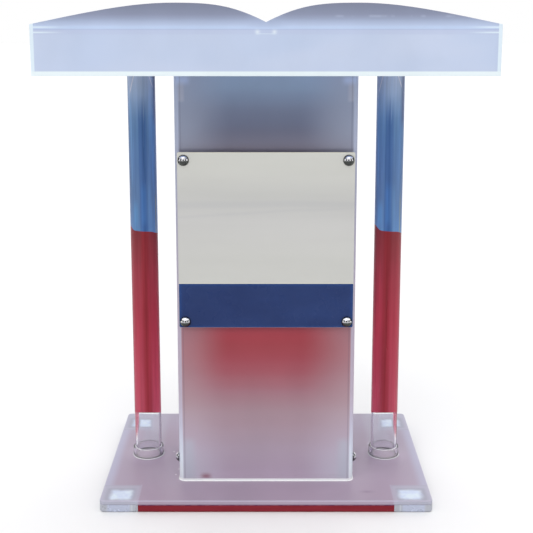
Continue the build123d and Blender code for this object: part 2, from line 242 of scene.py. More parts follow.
def reading_plate_through_panel(s, body):
    """The reading plate's edge as it shows through the frosted front, with its cable notch, a
    painted shine along it, painted highlights near the ends and a row of painted glints.
    """
    plate_top = PLATE_HIGH.z
    shine = s.near(s.z, plate_top + 0.0035, 0.003, 0.003)
    body = s.mix(shine, body, (0.54, 0.67, 0.90), 0.6)
    groove = s.near(s.z, plate_top - 0.0008, 0.0010, 0.0010)
    body = s.mix(groove, body, (0.42, 0.50, 0.73), 0.8)
    in_plate = s.near(s.z, plate_top - 0.006, 0.005, 0.002)
    body = s.mix(in_plate, body, (0.51, 0.575, 0.775), 0.55)
    # painted highlights: light lines by the reading plate's edge near the panel's ends
    outwards = s.step(s.across, 0.415, PANEL_HIGH.x - 0.010)
    upper_line = s.near(s.z, plate_top + 0.004, 0.0015, 0.002)
    lower_line = s.near(s.z, plate_top - 0.007, 0.0015, 0.0015)
    lines = s.most(upper_line, lower_line)
    body = s.mix(s.math("MULTIPLY", outwards, lines), body, (0.76, 0.87, 0.96), 0.9)

    spots = s.patch((s.z, plate_top - 0.006, 0.0035, 0.005), (s.across, 0.0180, 0.0035, 0.006))
    link = s.patch((s.z, plate_top - 0.0098, 0.0010, 0.0009), (s.x, 0, 0.020, 0.004))
    body = s.mix(spots, body, (0.84, 0.91, 0.97), 0.85)
    body = s.mix(link, body, (0.70, 0.80, 0.92), 0.6)
    above_plate = s.step(s.z, plate_top + 0.001, plate_top + 0.006)
    valley = s.product(s.near(s.x, 0, 0.030, 0.020), above_plate)
    body = s.mix(valley, body, (0.40, 0.47, 0.66), 0.35)

    # painted glints: a row of soft spots of light above the reading plate, on the right
    glint_row = s.product(s.near(s.z, plate_top + 0.027, 0.0010, 0.004), s.step(s.x, 0.10, 0.14))
    glints = s.math("MULTIPLY", glint_row, s.step(s.noise(38, 1, (1, 0.1, 0.1)), 0.50, 0.68))
    body = s.mix(glints, body, (0.60, 0.68, 0.85), 0.45)
    return body


def desk_panel_edges(s, body):
    """The side plates' and the bottom plate's polished ends, and the panel's own cut edges, painted
    bright as edge glow and dark where they face up.
    """
    side = s.step(s.across, PANEL_HIGH.x - SHEET - 0.001, PANEL_HIGH.x - SHEET + 0.0008)
    foot = s.step(s.z, BOTTOM_PLATE_HIGH.z + 0.0008, BOTTOM_PLATE_HIGH.z - 0.0008)
    body = s.mix(side, body, (0.745, 0.86, 0.95))
    body = s.mix(foot, body, (0.82, 0.92, 0.955))
    # painted highlight: the cut faces glow bright
    cut = s.step(s.math("ABSOLUTE", s.normal("Y")), 0.9, 0.6)
    body = s.mix(cut, body, PAINTED_EDGE_GLOW)
    top_cut = s.math("MULTIPLY", cut, s.step(s.normal("Z"), 0.5, 0.7))
    body = s.mix(top_cut, body, (0.16, 0.20, 0.38))
    return body


def desk_panel_material():
    """Pale blue apron, slate gable over the reading plate darkened towards its top as painted
    shade, bright cut edges showing behind.
    """
    s = Shader("frosted_desk_panel")
    plate_top = PLATE_HIGH.z
    # painted shade: the gable darkens towards its top where the dark space behind shows through the
    # frosted sheet, and is lightest by the reading plate's top
    gable = s.ramp(s.z, (
        (plate_top, (0.52, 0.61, 0.82)),
        (plate_top + 0.010, (0.468, 0.55, 0.745)),
        (plate_top + 0.020, (0.36, 0.42, 0.58)),
        (plate_top + 0.029, (0.286, 0.318, 0.448)),
        (plate_top + 0.040, (0.245, 0.275, 0.385)),
        (PANEL_HIGH.z, (0.225, 0.245, 0.345)),
    ))
    drift = s.step(s.noise(3.5, 2, (1, 1, 2)), 0.35, 0.65)
    apron = s.mix(drift, (0.525, 0.612, 0.80), (0.572, 0.645, 0.818))
    body = s.mix(s.step(s.z, plate_top - 0.004, plate_top + 0.001), apron, gable)
    body = reading_plate_through_panel(s, body)
    body = desk_panel_edges(s, body)
    return satin(s, body, 0.12)


def column_details(s, body):
    """Brackets and blocks seen through the front sheet, and painted highlights on the bends, the
    foot and the rear edges.
    """
    front_face = s.step(s.y, COLUMN_LOW.y + 0.010, COLUMN_LOW.y + 0.006)

    def seen_through(x_centre, x_half, z_centre, z_half, blur):
        """A soft shape on the front sheet, the same on the left and on the right."""
        shape = s.patch((s.across, x_centre, x_half, blur), (s.z, z_centre, z_half, blur))
        return s.product(shape, front_face)

    bracket, corner = middle(BRACKET_LOW, BRACKET_HIGH), middle(CORNER_LOW, CORNER_HIGH)
    seat = seen_through(bracket.x + 0.006, 0.016, BRACKET_HIGH.z - 0.015, 0.008, 0.009)
    leg = seen_through(BRACKET_HIGH.x - 0.008, 0.007, BRACKET_LOW.z + 0.026, 0.024, 0.004)
    body = s.mix(leg, body, (0.39, 0.415, 0.515), 0.85)
    lower_block = seen_through(corner.x, 0.013, corner.z, 0.050, 0.012)
    body = s.mix(lower_block, body, (0.50, 0.535, 0.63), 0.6)
    stain = seen_through(0.143, 0.010, COLUMN_LOW.z + 0.012, 0.005, 0.009)
    only_left = s.step(s.x, 0.0, -0.01)
    body = s.mix(s.math("MULTIPLY", stain, only_left), body, (0.28, 0.085, 0.12), 0.85)
    above_sign = s.near(s.z, SIGN_HIGH.z + 0.003, 0.003, 0.004)
    sign_shade = s.product(above_sign, s.step(s.across, 0.206, 0.198), front_face)
    body = s.mix(sign_shade, body, (0.07, 0.065, 0.11), 0.4)

    # painted highlight along each outside bend, whitest near the foot
    bend = s.step(s.across, COLUMN_HIGH.x - 0.0115, COLUMN_HIGH.x - 0.0085)
    bend_highlight_colour = s.ramp(s.z, (
        (COLUMN_LOW.z, (0.88, 0.94, 1.0)),
        (0.09, (0.80, 0.87, 0.98)),
        (0.16, (0.62, 0.62, 0.76)),
        (0.25, (0.52, 0.45, 0.56)),
        (0.70, (0.42, 0.42, 0.54)),
        (COLUMN_HIGH.z, (0.42, 0.48, 0.63)),
    ))
    body = s.mix(bend, body, bend_highlight_colour, 0.92)
    body = s.mix(seat, body, (0.45, 0.55, 0.77), 0.8)
    inner_line = s.product(s.near(s.across, COLUMN_HIGH.x - 0.0140, 0.0012, 0.0012), front_face)
    body = s.mix(inner_line, body, (0.10, 0.10, 0.16), 0.30)
    # painted highlights along the foot and the rear edges
    foot = s.step(s.z, COLUMN_LOW.z + 0.0068, COLUMN_LOW.z + 0.0052)
    rear_edge = s.step(s.y, COLUMN_HIGH.y - 0.0016, COLUMN_HIGH.y - 0.0008)
    body = s.mix(s.most(foot, rear_edge), body, (0.96, 0.98, 1.0))
    return body


def column_material():
    """Slate at the top, a red bloom under the sign that fades to mauve, and painted highlights on
    the bends and foot.
    """
    s = Shader("frosted_column")
    # some stops are painted light: those near the top are lighter to offset the desk's shade, and
    # the red just under the sign is lighter to offset the sign's shade
    centre = s.ramp(s.z, (
        (COLUMN_LOW.z, (0.54, 0.435, 0.56)),
        (0.060, (0.47, 0.375, 0.485)),
        (0.118, (0.425, 0.330, 0.415)),
        (0.164, (0.405, 0.288, 0.350)),
        (0.210, (0.385, 0.245, 0.292)),
        (0.256, (0.370, 0.165, 0.206)),
        (0.291, (0.368, 0.108, 0.140)),
        (0.325, (0.362, 0.070, 0.096)),
        (0.365, (0.350, 0.050, 0.068)),
        (0.400, (0.370, 0.050, 0.072)),
        (0.45, (0.26, 0.06, 0.08)),
        (0.60, (0.16, 0.11, 0.14)),
        (0.83, (0.175, 0.165, 0.224)),
        (0.873, (0.137, 0.151, 0.228)),
        (0.92, (0.170, 0.208, 0.312)),
        (0.955, (0.230, 0.305, 0.445)),
        (COLUMN_HIGH.z, (0.30, 0.40, 0.56)),
    ))
    flank = s.ramp(s.z, (
        (COLUMN_LOW.z, (0.60, 0.56, 0.67)),
        (0.060, (0.56, 0.53, 0.64)),
        (0.118, (0.515, 0.440, 0.545)),
        (0.210, (0.450, 0.325, 0.378)),
        (0.290, (0.400, 0.230, 0.268)),
        (0.375, (0.375, 0.180, 0.212)),
        (0.60, (0.28, 0.21, 0.25)),
        (0.84, (0.275, 0.290, 0.380)),
        (0.93, (0.285, 0.325, 0.440)),
        (COLUMN_HIGH.z, (0.33, 0.38, 0.52)),
    ))
    wander = s.math("MULTIPLY", s.math("SUBTRACT", s.noise(4, 2), 0.5), 0.05)
    body = s.mix(s.step(s.math("ADD", s.across, wander), 0.072, 0.208), centre, flank)
    behind = s.step(s.y, COLUMN_LOW.y + 0.04, COLUMN_LOW.y + 0.20)
    body = s.mix(behind, body, (0.50, 0.52, 0.62), 0.35)
    body = column_details(s, body)
    return satin(s, body, 0.12, 0.45)


def round_the_tube(s, body):
    """Lighter round, past and inside each collar, to offset the light lost in clear acrylic."""
    axis_x, axis_y = s.math("SUBTRACT", s.across, TUBE.x), s.math("SUBTRACT", s.y, TUBE.y)
    from_axis = s.math("SQRT", s.math("ADD", s.product(axis_x, axis_x), s.product(axis_y, axis_y)))
    body = s.mix(s.step(from_axis, 0.075, COLLAR_RADIUS), body, (0.56, 0.47, 0.59), 0.40)
    shaft = s.near(axis_x, 0, 0.030, 0.012)
    past = s.math("MULTIPLY", s.step(axis_y, 0.02, 0.06), shaft)
    body = s.mix(past, body, (0.50, 0.48, 0.58), 0.55)
    just_past = s.product(s.step(axis_y, 0.0, 0.03), s.step(axis_y, 0.085, 0.055), shaft)
    body = s.mix(just_past, body, (0.72, 0.65, 0.78), 0.6)
    inside_collar = s.step(from_axis, COLLAR_RADIUS + 0.0005, COLLAR_RADIUS - 0.0005)
    body = s.mix(inside_collar, body, (0.74, 0.61, 0.77))
    return body


def feet_through_base(s, body):
    """The corner feet and their white pads, seen through the plate a little nearer the eye."""
    pad, foot = middle(PAD_LOW, PAD_HIGH), middle(FOOT_LOW, FOOT_HIGH)
    below = s.math("ABSOLUTE", s.math("ADD", s.y, SEEN_NEARER))
    block = s.math("MULTIPLY", s.step(s.across, FOOT_LOW.x - 0.004, FOOT_LOW.x + 0.006),
                   s.step(below, -FOOT_HIGH.y - 0.004, -FOOT_HIGH.y + 0.006))
    body = s.mix(block, body, (0.50, 0.49, 0.60), 0.8)
    rear_line = s.product(s.near(below, -FOOT_HIGH.y + 0.004, 0.0015, 0.003), block)
    body = s.mix(rear_line, body, (0.33, 0.33, 0.42), 0.5)
    half = (PAD_HIGH.x - PAD_LOW.x) / 2
    ring_half = half + 0.004
    # painted shadow: a dark ring round each pad
    pad_shadow_ring = s.patch((s.across, foot.x, ring_half, 0.006), (below, -pad.y, ring_half, 0.006))
    body = s.mix(pad_shadow_ring, body, (0.36, 0.37, 0.46), 0.6)
    wobble = s.math("MULTIPLY", s.math("SUBTRACT", s.noise(40, 2), 0.5), 0.012)
    core = s.patch((s.math("ADD", s.across, wobble), pad.x - 0.003, half - 0.005, 0.008),
                   (s.math("ADD", below, wobble), -pad.y, half - 0.006, 0.008))
    glow = s.step(s.noise(55, 2), 0.35, 0.7)
    body = s.mix(core, body, s.mix(glow, (0.67, 0.76, 0.95), (0.79, 0.89, 1.0)))
    over_feet = s.step(below, -FOOT_HIGH.y - 0.004, -FOOT_HIGH.y)
    inside_edge = s.product(s.near(s.across, FOOT_LOW.x, 0.0015, 0.002), over_feet)
    body = s.mix(inside_edge, body, (0.52, 0.50, 0.62), 0.5)
    return body


def base_marks(s, body):
    """One smudge and a few specks on the plate."""
    smudge = s.patch((s.x, 0.235, 0.010, 0.016), (s.y, BASE_LOW.y + 0.047, 0.004, 0.008))
    body = s.mix(smudge, body, (0.21, 0.135, 0.25), 0.6)
    for x, y in ((-0.234, 0.0085), (-0.213, -0.094), (-0.218, -0.1255)):
        speck = s.patch((s.x, x, 0.0014, 0.0012), (s.y, y, 0.0020, 0.0014))
        body = s.mix(speck, body, (0.92, 0.89, 0.90), 0.9)
    return body


def base_rims(s, body):
    """The plate's top rim with a painted highlight, its bottom bevel with a painted shadow over the
    strip, and its sides over the feet.
    """
    along = s.math("ABSOLUTE", s.y)
    # painted highlight along the top rim
    rim_highlight = s.most(s.step(s.across, BASE_HIGH.x - 0.0032, BASE_HIGH.x - 0.0014),
                 s.step(along, BASE_HIGH.y - 0.0032, BASE_HIGH.y - 0.0014))
    on_top = s.step(s.z, BASE_HIGH.z - 0.0016, BASE_HIGH.z - 0.0010)
    body = s.mix(s.math("MULTIPLY", rim_highlight, on_top), body, (0.60, 0.56, 0.70), 0.75)
    # painted shadow on the lower bevel, in the gap over the strip
    bevel_shadow = s.step(s.z, BASE_LOW.z + 0.0018, BASE_LOW.z + 0.0004)
    body = s.mix(bevel_shadow, body, (0.17, 0.13, 0.24), 0.8)
    below_top = s.step(s.z, BASE_HIGH.z - 0.0005, BASE_HIGH.z - 0.0015)
    over_foot = s.product(s.step(s.across, FOOT_LOW.x, FOOT_LOW.x + 0.002), below_top)
    body = s.mix(over_foot, body, (0.47, 0.475, 0.57), 0.7)
    return body


def base_material():
    """Mauve plate, painted paler towards its sides as edge glow, with the corner feet showing
    through.
    """
    s = Shader("frosted_base")
    drift = s.step(s.noise(3, 3), 0.35, 0.65)
    body = s.mix(drift, (0.415, 0.340, 0.440), (0.450, 0.358, 0.465))
    leftwards = s.step(s.x, -0.10, -0.34)
    body = s.mix(leftwards, body, (0.440, 0.340, 0.445), 0.7)
    body = s.mix(s.step(s.y, 0.06, BASE_HIGH.y), body, (0.455, 0.425, 0.545), 0.6)
    # painted edge glow: paler and bluer towards the plate's sides
    towards_side = s.step(s.across, BASE_HIGH.x - 0.075, BASE_HIGH.x - 0.004)
    body = s.mix(towards_side, body, (0.50, 0.50, 0.64), 0.16)
    near_side = s.step(s.across, BASE_HIGH.x - 0.030, BASE_HIGH.x - 0.006)
    body = s.mix(near_side, body, (0.51, 0.51, 0.66), 0.80)
    body = round_the_tube(s, body)
    body = feet_through_base(s, body)
    body = base_marks(s, body)
    body = base_rims(s, body)
    return satin(s, body, 0.10, 0.38)


def desk_sheet_material():
    """The desk's other sheets: pale blue satin with cut edges painted bright as edge glow."""
    s = Shader("frosted_desk_sheet")
    drift = s.step(s.noise(3.5, 2), 0.35, 0.65)
    body = s.mix(drift, (0.50, 0.59, 0.79), (0.56, 0.64, 0.82))
    body = s.mix(s.step(s.normal("Y"), 0.6, 0.9), body, PAINTED_EDGE_GLOW)
    return satin(s, body, 0.15)


def clear_material(name, colour, clearness, ior):
    """Cast acrylic with faint smears; a little light is lost in it, or scattered by it.

    A tube's wall is tinted where it is seen edge on, and carries a painted reflection of the red
    film down its outer side above the collar.
    """
    s = Shader(name)
    smear = s.noise(14, 4, (1, 1, 0.35))
    beside = s.math("SUBTRACT", s.across, TUBE.x)
    wall = s.step(s.math("ABSOLUTE", beside), TUBE_RADIUS - 0.005, TUBE_RADIUS - 0.002)
    body = s.mix(wall, colour, TUBE_WALL_TINT)
    # painted reflection of the red film, narrowing towards the collar
    narrowing = s.step(s.z, RED_LOW.z, COLLAR_HIGH.z, 0.0, 0.004)
    outer = s.step(s.math("SUBTRACT", beside, narrowing), TUBE_RADIUS - 0.006, TUBE_RADIUS - 0.0045)
    above_collar = s.step(s.z, COLLAR_HIGH.z + 0.01, COLLAR_HIGH.z + 0.04)
    body = s.mix(s.math("MULTIPLY", outer, above_collar), body, RED_FILM_REFLECTION)
    s.set("Base Color", body)
    s.set("Roughness", s.step(smear, 0.35, 0.75, 0.015, 0.06))
    s.set("Transmission Weight", clearness)
    s.set("IOR", ior)
    s.set("Specular Tint", (0.92, 0.91, 0.96))
    s.bump(s.noise(6, 2, (1, 1, 0.2)), 0.0008, 0.3)
    return s.material


def milky_material(name, dark, light, clearness):
    """Acrylic block with sawn, slightly milky faces."""
    s = Shader(name)
    saw = s.noise(300, 3, (1, 1, 0.05))
    cloud = s.step(s.noise(30, 3), 0.3, 0.7)
    s.set("Base Color", s.mix(cloud, dark, light))
    s.set("Roughness", s.step(saw, 0.3, 0.7, 0.22, 0.38))
    s.set("Transmission Weight", clearness)
    s.set("IOR", ACRYLIC_IOR)
    s.bump(saw, 0.0002, 0.5)
    return s.material


def foot_material():
    """Milky corner foot with the pad behind its face showing as a bluish window."""
    s = Shader("milky_foot")
    pad = middle(PAD_LOW, PAD_HIGH)
    half = (PAD_HIGH.x - PAD_LOW.x) / 2
    cloud = s.step(s.noise(30, 3), 0.3, 0.7)
    body = s.mix(cloud, (0.50, 0.515, 0.58), (0.58, 0.60, 0.68))
    window = s.near(s.across, pad.x, half - 0.004, 0.004)
    body = s.mix(window, body, (0.62, 0.67, 0.86), 0.8)
    wall = s.near(s.across, pad.x - half, 0.0018, 0.0018)
    body = s.mix(wall, body, (0.74, 0.78, 0.86), 0.7)
    body = s.mix(s.near(s.across, FOOT_LOW.x, 0.002, 0.003), body, (0.60, 0.62, 0.68), 0.6)
    s.set("Base Color", body)
    s.set("Roughness", s.step(cloud, 0.3, 0.7, 0.20, 0.34))
    s.set("Transmission Weight", 0.25)
    s.set("IOR", ACRYLIC_IOR)
    s.set("Specular IOR Level", 0.35)
    s.bump(s.noise(120, 2, (1, 1, 0.2)), 0.0002, 0.2)
    return s.material


def film_material(name, heights, dark, dark_range, streaks, veins=()):
    """Glossy colour film wrapped round a tube, with long soft streaks of painted reflection, light
    and dark, and a lap at the back.

    Turns are in half turns round the tube, 0 where it faces the eye and positive to the right.
    A streak is (turn, half width, blur, bottom, top, colour, strength).
    A vein is a thin pale line: (turn at its top, turn per metre of fall, length).
    """
    s = Shader(name)
    body = s.ramp(s.z, heights)
    side = s.math("SIGN", s.x)
    beside = s.math("SUBTRACT", s.x, s.math("MULTIPLY", side, TUBE.x))
    toward = s.math("SUBTRACT", TUBE.y, s.y)
    turn = s.math("DIVIDE", s.math("ARCTAN2", beside, toward), math.pi)
    turn = s.math("ADD", turn, s.math("MULTIPLY", side, EYE_TURN))
    # painted reflections: darker bands at the front, the sides and the back, fading out above
    # dark_range
    quarter = s.math("COSINE", s.math("MULTIPLY", turn, 4 * math.pi))
    fade = s.step(s.z, dark_range[0], dark_range[1], 1.0, 0.0)
    body = s.mix(s.math("MULTIPLY", s.step(quarter, 0.0, 1.0), fade), body, dark, 0.7)
    # painted reflection: a darker spine down the front and the back
    sideways = s.math("ABSOLUTE", s.math("SINE", s.math("MULTIPLY", turn, math.pi)))
    spine = s.near(sideways, 0.0, 0.05, 0.07)
    deep = tuple(0.75 * c for c in dark)
    body = s.mix(s.math("MULTIPLY", spine, fade), body, deep, 0.40)
    for centre, half, blur, bottom, top, colour, strength in streaks:
        place = s.near(turn, centre, half, blur)
        reach = s.near(s.z, (bottom + top) / 2, (top - bottom) / 2, 0.02)
        body = s.mix(s.math("MULTIPLY", place, reach), body, colour, strength)
    fall = s.math("SUBTRACT", BLUE_HIGH.z, s.z)
    for start, lean, length in veins:
        leaning = s.math("SUBTRACT", turn, s.math("MULTIPLY", fall, lean))
        place = s.near(leaning, start, 0.011, 0.010)
        reach = s.step(fall, length, length - 0.012)
        body = s.mix(s.math("MULTIPLY", place, reach), body, VEIN, 0.75)
    inwards = s.math("DIVIDE", s.math("MULTIPLY", beside, side), -TUBE_RADIUS)
    most_lift = s.step(s.z, 0.87, 0.97, SHADE_LIFT, SHADE_LIFT_AT_TOP)
    lift = s.math("MULTIPLY", s.step(inwards, 0.25, 0.95), most_lift)
    body = s.times(body, s.math("ADD", lift, 1.0))
    grain = s.noise(34, 3, (1, 1, 0.05))
    body = s.times(body, s.step(grain, 0.3, 0.7, 0.90, 1.10))
    body = s.times(body, s.step(s.noise(150, 3, (1, 1, 0.03), 0.65), 0.35, 0.65, 0.92, 1.08))
    lap = s.step(s.math("ABSOLUTE", turn), 0.968, 0.974)
    body = s.mix(lap, body, deep, 0.35)
    s.set("Base Color", body)
    s.set("Roughness", s.step(grain, 0.3, 0.7, 0.26, 0.38))
    s.set("IOR", 1.5)
    s.set("Specular IOR Level", 0.22)
    s.bump(s.math("ADD", s.math("MULTIPLY", grain, 0.4), lap), 0.0004, 0.3)
    return s.material


def blue_film_material():
    """Blue: greyish and veined under the desk, the grey a painted reflection of the desk above,
    brightest and streaked just above the red.
    """
    change, top = BLUE_LOW.z + 0.009, BLUE_HIGH.z
    heights = (
        (BLUE_LOW.z, (0.110, 0.225, 0.44)),
        (0.640, (0.107, 0.205, 0.400)),
        (0.690, (0.103, 0.185, 0.350)),
        (0.786, (0.100, 0.192, 0.380)),
        (0.883, (0.135, 0.245, 0.430)),
        (0.931, (0.260, 0.360, 0.530)),
        (0.965, (0.350, 0.430, 0.570)),
        (top, (0.380, 0.450, 0.590)),
    )
    beige, pale, slate = (0.46, 0.44, 0.47), (0.150, 0.285, 0.50), (0.085, 0.095, 0.20)
    streaks = (
        (0.00, 0.05, 0.06, 0.62, 0.720, (0.066, 0.195, 0.50), 0.7),
        (-0.20, 0.05, 0.06, 0.62, 0.675, (0.115, 0.275, 0.52), 0.8),
        (0.13, 0.04, 0.05, 0.64, 0.72, (0.115, 0.240, 0.46), 0.6),
        (-0.29, 0.015, 0.02, 0.72, 0.93, pale, 0.6),
        (0.030, 0.006, 0.010, 0.88, 1.0, (0.25, 0.36, 0.52), 0.6),
        (0.36, 0.07, 0.08, 0.87, 1.0, slate, 0.70),
        (-0.45, 0.03, 0.03, 0.62, 1.0, (0.07, 0.145, 0.33), 0.6),
        (-0.31, 0.012, 0.012, 0.935, 0.970, beige, 0.35),
        (0.325, 0.020, 0.010, change - 0.03, change + 0.085, (0.200, 0.225, 0.205), 0.85),
        (-0.385, 0.008, 0.008, 0.60, 0.97, (0.05, 0.10, 0.27), 0.7),
        (-0.08, 0.006, 0.006, 0.60, 0.90, (0.045, 0.115, 0.32), 0.6),
        (0.005, 0.004, 0.005, 0.66, 0.93, (0.040, 0.100, 0.29), 0.6),
        (0.24, 0.010, 0.010, 0.63, 0.90, (0.105, 0.205, 0.43), 0.5),
        (0.02, 0.05, 0.08, change - 0.03, change + 0.020, (0.038, 0.105, 0.30), 0.7),
    )
    veins = ((-0.14, -3.1, 0.058), (0.12, 4.0, 0.046))
    return film_material("blue_film", heights, (0.044, 0.120, 0.325), (0.86, 0.94), streaks, veins)


def red_film_material():
    """Red: dark where it meets the blue, lighter towards its foot."""
    low, top = RED_LOW.z, RED_HIGH.z
    heights = (
        (low, (0.43, 0.060, 0.100)),
        (0.227, (0.405, 0.052, 0.088)),
        (0.373, (0.365, 0.038, 0.065)),
        (0.519, (0.295, 0.038, 0.056)),
        (0.580, (0.235, 0.034, 0.044)),
        (top, (0.205, 0.032, 0.042)),
    )
    streaks = (
        (-0.34, 0.03, 0.04, low - 0.02, low + 0.20, (0.42, 0.030, 0.080), 0.5),
        (0.07, 0.025, 0.03, low - 0.02, 0.50, (0.35, 0.030, 0.052), 0.7),
        (0.45, 0.03, 0.02, low - 0.02, top - 0.03, (0.40, 0.10, 0.16), 0.7),
        (-0.45, 0.03, 0.03, low - 0.02, top, (0.24, 0.030, 0.052), 0.6),
    )
    return film_material("red_film", heights, (0.275, 0.016, 0.026), (2.0, 3.0), streaks)


def strip_material():
    """Dark red strip, mauve in patches along its top."""
    s = Shader("red_strip")
    grain = s.noise(50, 4, (0.2, 1, 3))
    body = s.mix(s.step(grain, 0.35, 0.7), (0.205, 0.011, 0.022), (0.245, 0.017, 0.030))
    top = s.step(s.z, BASE_LOW.z - 0.0022, BASE_LOW.z - 0.0014)
    patches = s.step(s.noise(70, 2, (1, 0, 0)), 0.4, 0.6)
    body = s.mix(top, body, s.mix(patches, (0.10, 0.055, 0.14), (0.24, 0.13, 0.20)), 0.75)
    s.set("Base Color", body)
    s.set("Roughness", s.step(grain, 0.3, 0.7, 0.40, 0.52))
    s.set("Specular IOR Level", 0.2)
    s.bump(grain, 0.0003, 0.3)
    return s.material


def sign_material():
    """White board with soft level streaks of painted reflection, as a slightly wavy polished sheet
    shows.
    """
    s = Shader("sign_white")
    wave = s.math("ADD", s.z, s.math("MULTIPLY", s.noise(3, 1), 0.02))
    streak = s.near(wave, 0.712, 0.007, 0.005)
    second = s.near(s.math("ADD", wave, s.math("MULTIPLY", s.x, -0.05)), 0.694, 0.0025, 0.005)
    body = s.ramp(s.z, (
        (SIGN_LOW.z, (0.525, 0.528, 0.502)),
        (0.58, (0.530, 0.530, 0.508)),
        (0.66, (0.525, 0.522, 0.510)),
        (0.71, (0.500, 0.500, 0.485)),
        (0.76, (0.540, 0.540, 0.512)),
        (SIGN_HIGH.z, (0.570, 0.572, 0.535)),
    ))
    body = s.mix(s.most(streak, second), body, (0.44, 0.44, 0.45), 0.40)
    body = s.times(body, s.step(s.noise(16, 3, (0.12, 1, 1)), 0.3, 0.7, 0.98, 1.02))
    # painted highlight along the board's top edge
    top_edge_highlight = s.step(s.z, SIGN_HIGH.z - 0.0022, SIGN_HIGH.z - 0.0008)
    body = s.mix(top_edge_highlight, body, (0.70, 0.68, 0.55), 0.7)
    # painted highlight along the band's top edge
    joint_highlight = s.near(s.z, BAND_HIGH.z + 0.0012, 0.0008, 0.0006)
    body = s.mix(joint_highlight, body, (0.72, 0.70, 0.55), 0.6)
    s.set("Base Color", body)
    s.set("Roughness", s.step(s.noise(25, 3), 0.3, 0.7, 0.16, 0.24))
    s.set("Specular IOR Level", 0.25)
    s.bump(s.noise(5, 2, (0.3, 1, 1)), 0.0006, 0.25)
    return s.material


def band_material():
    """Blue vinyl, with painted highlights along its rims."""
    s = Shader("sign_blue")
    drift = s.step(s.noise(14, 3, (0.4, 1, 1)), 0.35, 0.7)
    body = s.mix(drift, (0.018, 0.036, 0.125), (0.022, 0.045, 0.150))
    # painted highlights along the band's rims
    rim_highlight = s.most(s.step(s.across, BAND_HIGH.x - 0.010, BAND_HIGH.x),
                 s.step(s.z, BAND_HIGH.z - 0.008, BAND_HIGH.z),
                 s.step(s.z, BAND_LOW.z + 0.006, BAND_LOW.z))
    body = s.mix(rim_highlight, body, (0.016, 0.055, 0.205), 0.7)
    s.set("Base Color", body)
    s.set("Roughness", s.step(s.noise(25, 3), 0.3, 0.7, 0.25, 0.35))
    s.set("Specular IOR Level", 0.2)
    s.bump(s.noise(30, 2), 0.0002, 0.3)
    return s.material


def chrome_material(name, axis):
    """Chromed dome that carries the dark room behind the camera: axis is the way its dome faces."""
    s = Shader(name)
    haze = s.noise(220, 3)
    up = s.normal("Z")
    facing = s.math("ABSOLUTE", s.normal(axis))
    # painted reflections: a dark band below the top, a dark lower half and a dark rim round a
    # bright dome
    body = s.mix(s.near(up, 0.36, 0.06, 0.05), (0.95, 0.95, 0.98), (0.07, 0.07, 0.10), 0.9)
    body = s.mix(s.step(up, 0.02, -0.12), body, (0.13, 0.14, 0.13))
    body = s.mix(s.step(facing, 0.60, 0.50), body, (0.16, 0.16, 0.18), 0.85)
    s.set("Base Color", body)
    s.set("Metallic", 1.0)
    s.set("Roughness", s.step(haze, 0.35, 0.7, 0.04, 0.10))
    s.bump(haze, 0.00005, 0.2)
    return s.material


def steel_material():
    """Turned and plated steel."""
    s = Shader("plated_steel")
    turned = s.noise(600, 4, (1, 0.1, 1))
    s.set("Base Color", s.mix(s.step(turned, 0.3, 0.7), (0.42, 0.42, 0.44), (0.58, 0.58, 0.60)))
    s.set("Metallic", 1.0)
    s.set("Roughness", s.step(turned, 0.3, 0.7, 0.24, 0.38))
    s.bump(turned, 0.00008, 0.3)
    return s.material


def pad_material():
    """White rubber with a fine matt skin."""
    s = Shader("white_rubber")
    skin = s.noise(500, 3)
    cloud = s.step(s.noise(60, 3), 0.3, 0.7)
    s.set("Base Color", s.mix(cloud, (0.66, 0.74, 0.88), (0.74, 0.82, 0.94)))
    s.set("Roughness", s.step(skin, 0.3, 0.7, 0.49, 0.61))
    s.bump(skin, 0.0001, 0.4)
    return s.material


def plain_material(name, colour):
    """For the stage only."""
    s = Shader(name)
    s.set("Base Color", colour)
    s.set("Roughness", 0.7)
    return s.material


def paint_everything():
    sheet = desk_sheet_material()
    clear = clear_material("clear_acrylic", (0.985, 0.99, 1.0), 1.0, 1.34)
    collar = clear_material("clear_collar", (0.99, 0.94, 0.99), 0.80, 1.12)
    steel = steel_material()
    pad = pad_material()
    block = milky_material("milky_block", (0.60, 0.67, 0.80), (0.72, 0.79, 0.88), 0.35)
    plug = milky_material("milky_plug", (0.42, 0.49, 0.62), (0.50, 0.57, 0.70), 0.3)
    paint(desk_panel_material(), "desk_front_panel")
    paint(sheet, "desk_bottom_plate", "desk_reading_plate", "desk_paper_stop", *both("desk_side"))
    paint(column_material(), "column_shell")
    paint(base_material(), "base_plate")
    paint(block, *both("column_top_bracket"), *both("column_bottom_block"))
    paint(plug, *both("tube_top_plug"))
    paint(clear, *both("tube"), "sign_spacers", "sign_rings", "column_side_rings")
    paint(collar, *both("tube_collar"))
    paint(foot_material(), *both("foot_front"), *both("foot_rear"))
    paint(pad, *both("foot_pad_front"), *both("foot_pad_rear"))
    paint(blue_film_material(), *both("tube_film_blue"))
    paint(red_film_material(), *both("tube_film_red"))
    paint(strip_material(), "base_kick_strip")
    paint(sign_material(), "sign_board")
    paint(band_material(), "sign_band")
    paint(chrome_material("chrome_facing_front", "Y"), "sign_dome_caps")
    paint(chrome_material("chrome_facing_side", "X"), "column_side_caps")
    paint(steel, "sign_studs", "sign_washers", "sign_nuts", "column_side_bolts")
    paint(steel, "tube_top_screws", "bracket_screws", "base_screws")


# ---- cement beads, which the CAD leaves out ----
COLUMN_BEAD = 0.0020  # radius of each bead's hollow face
DESK_BEAD = 0.0018
TUBE_FOOT_BEAD = 0.0016
COLLAR_FOOT_BEAD = 0.0012
COLLAR_TOP_BEAD = 0.0010


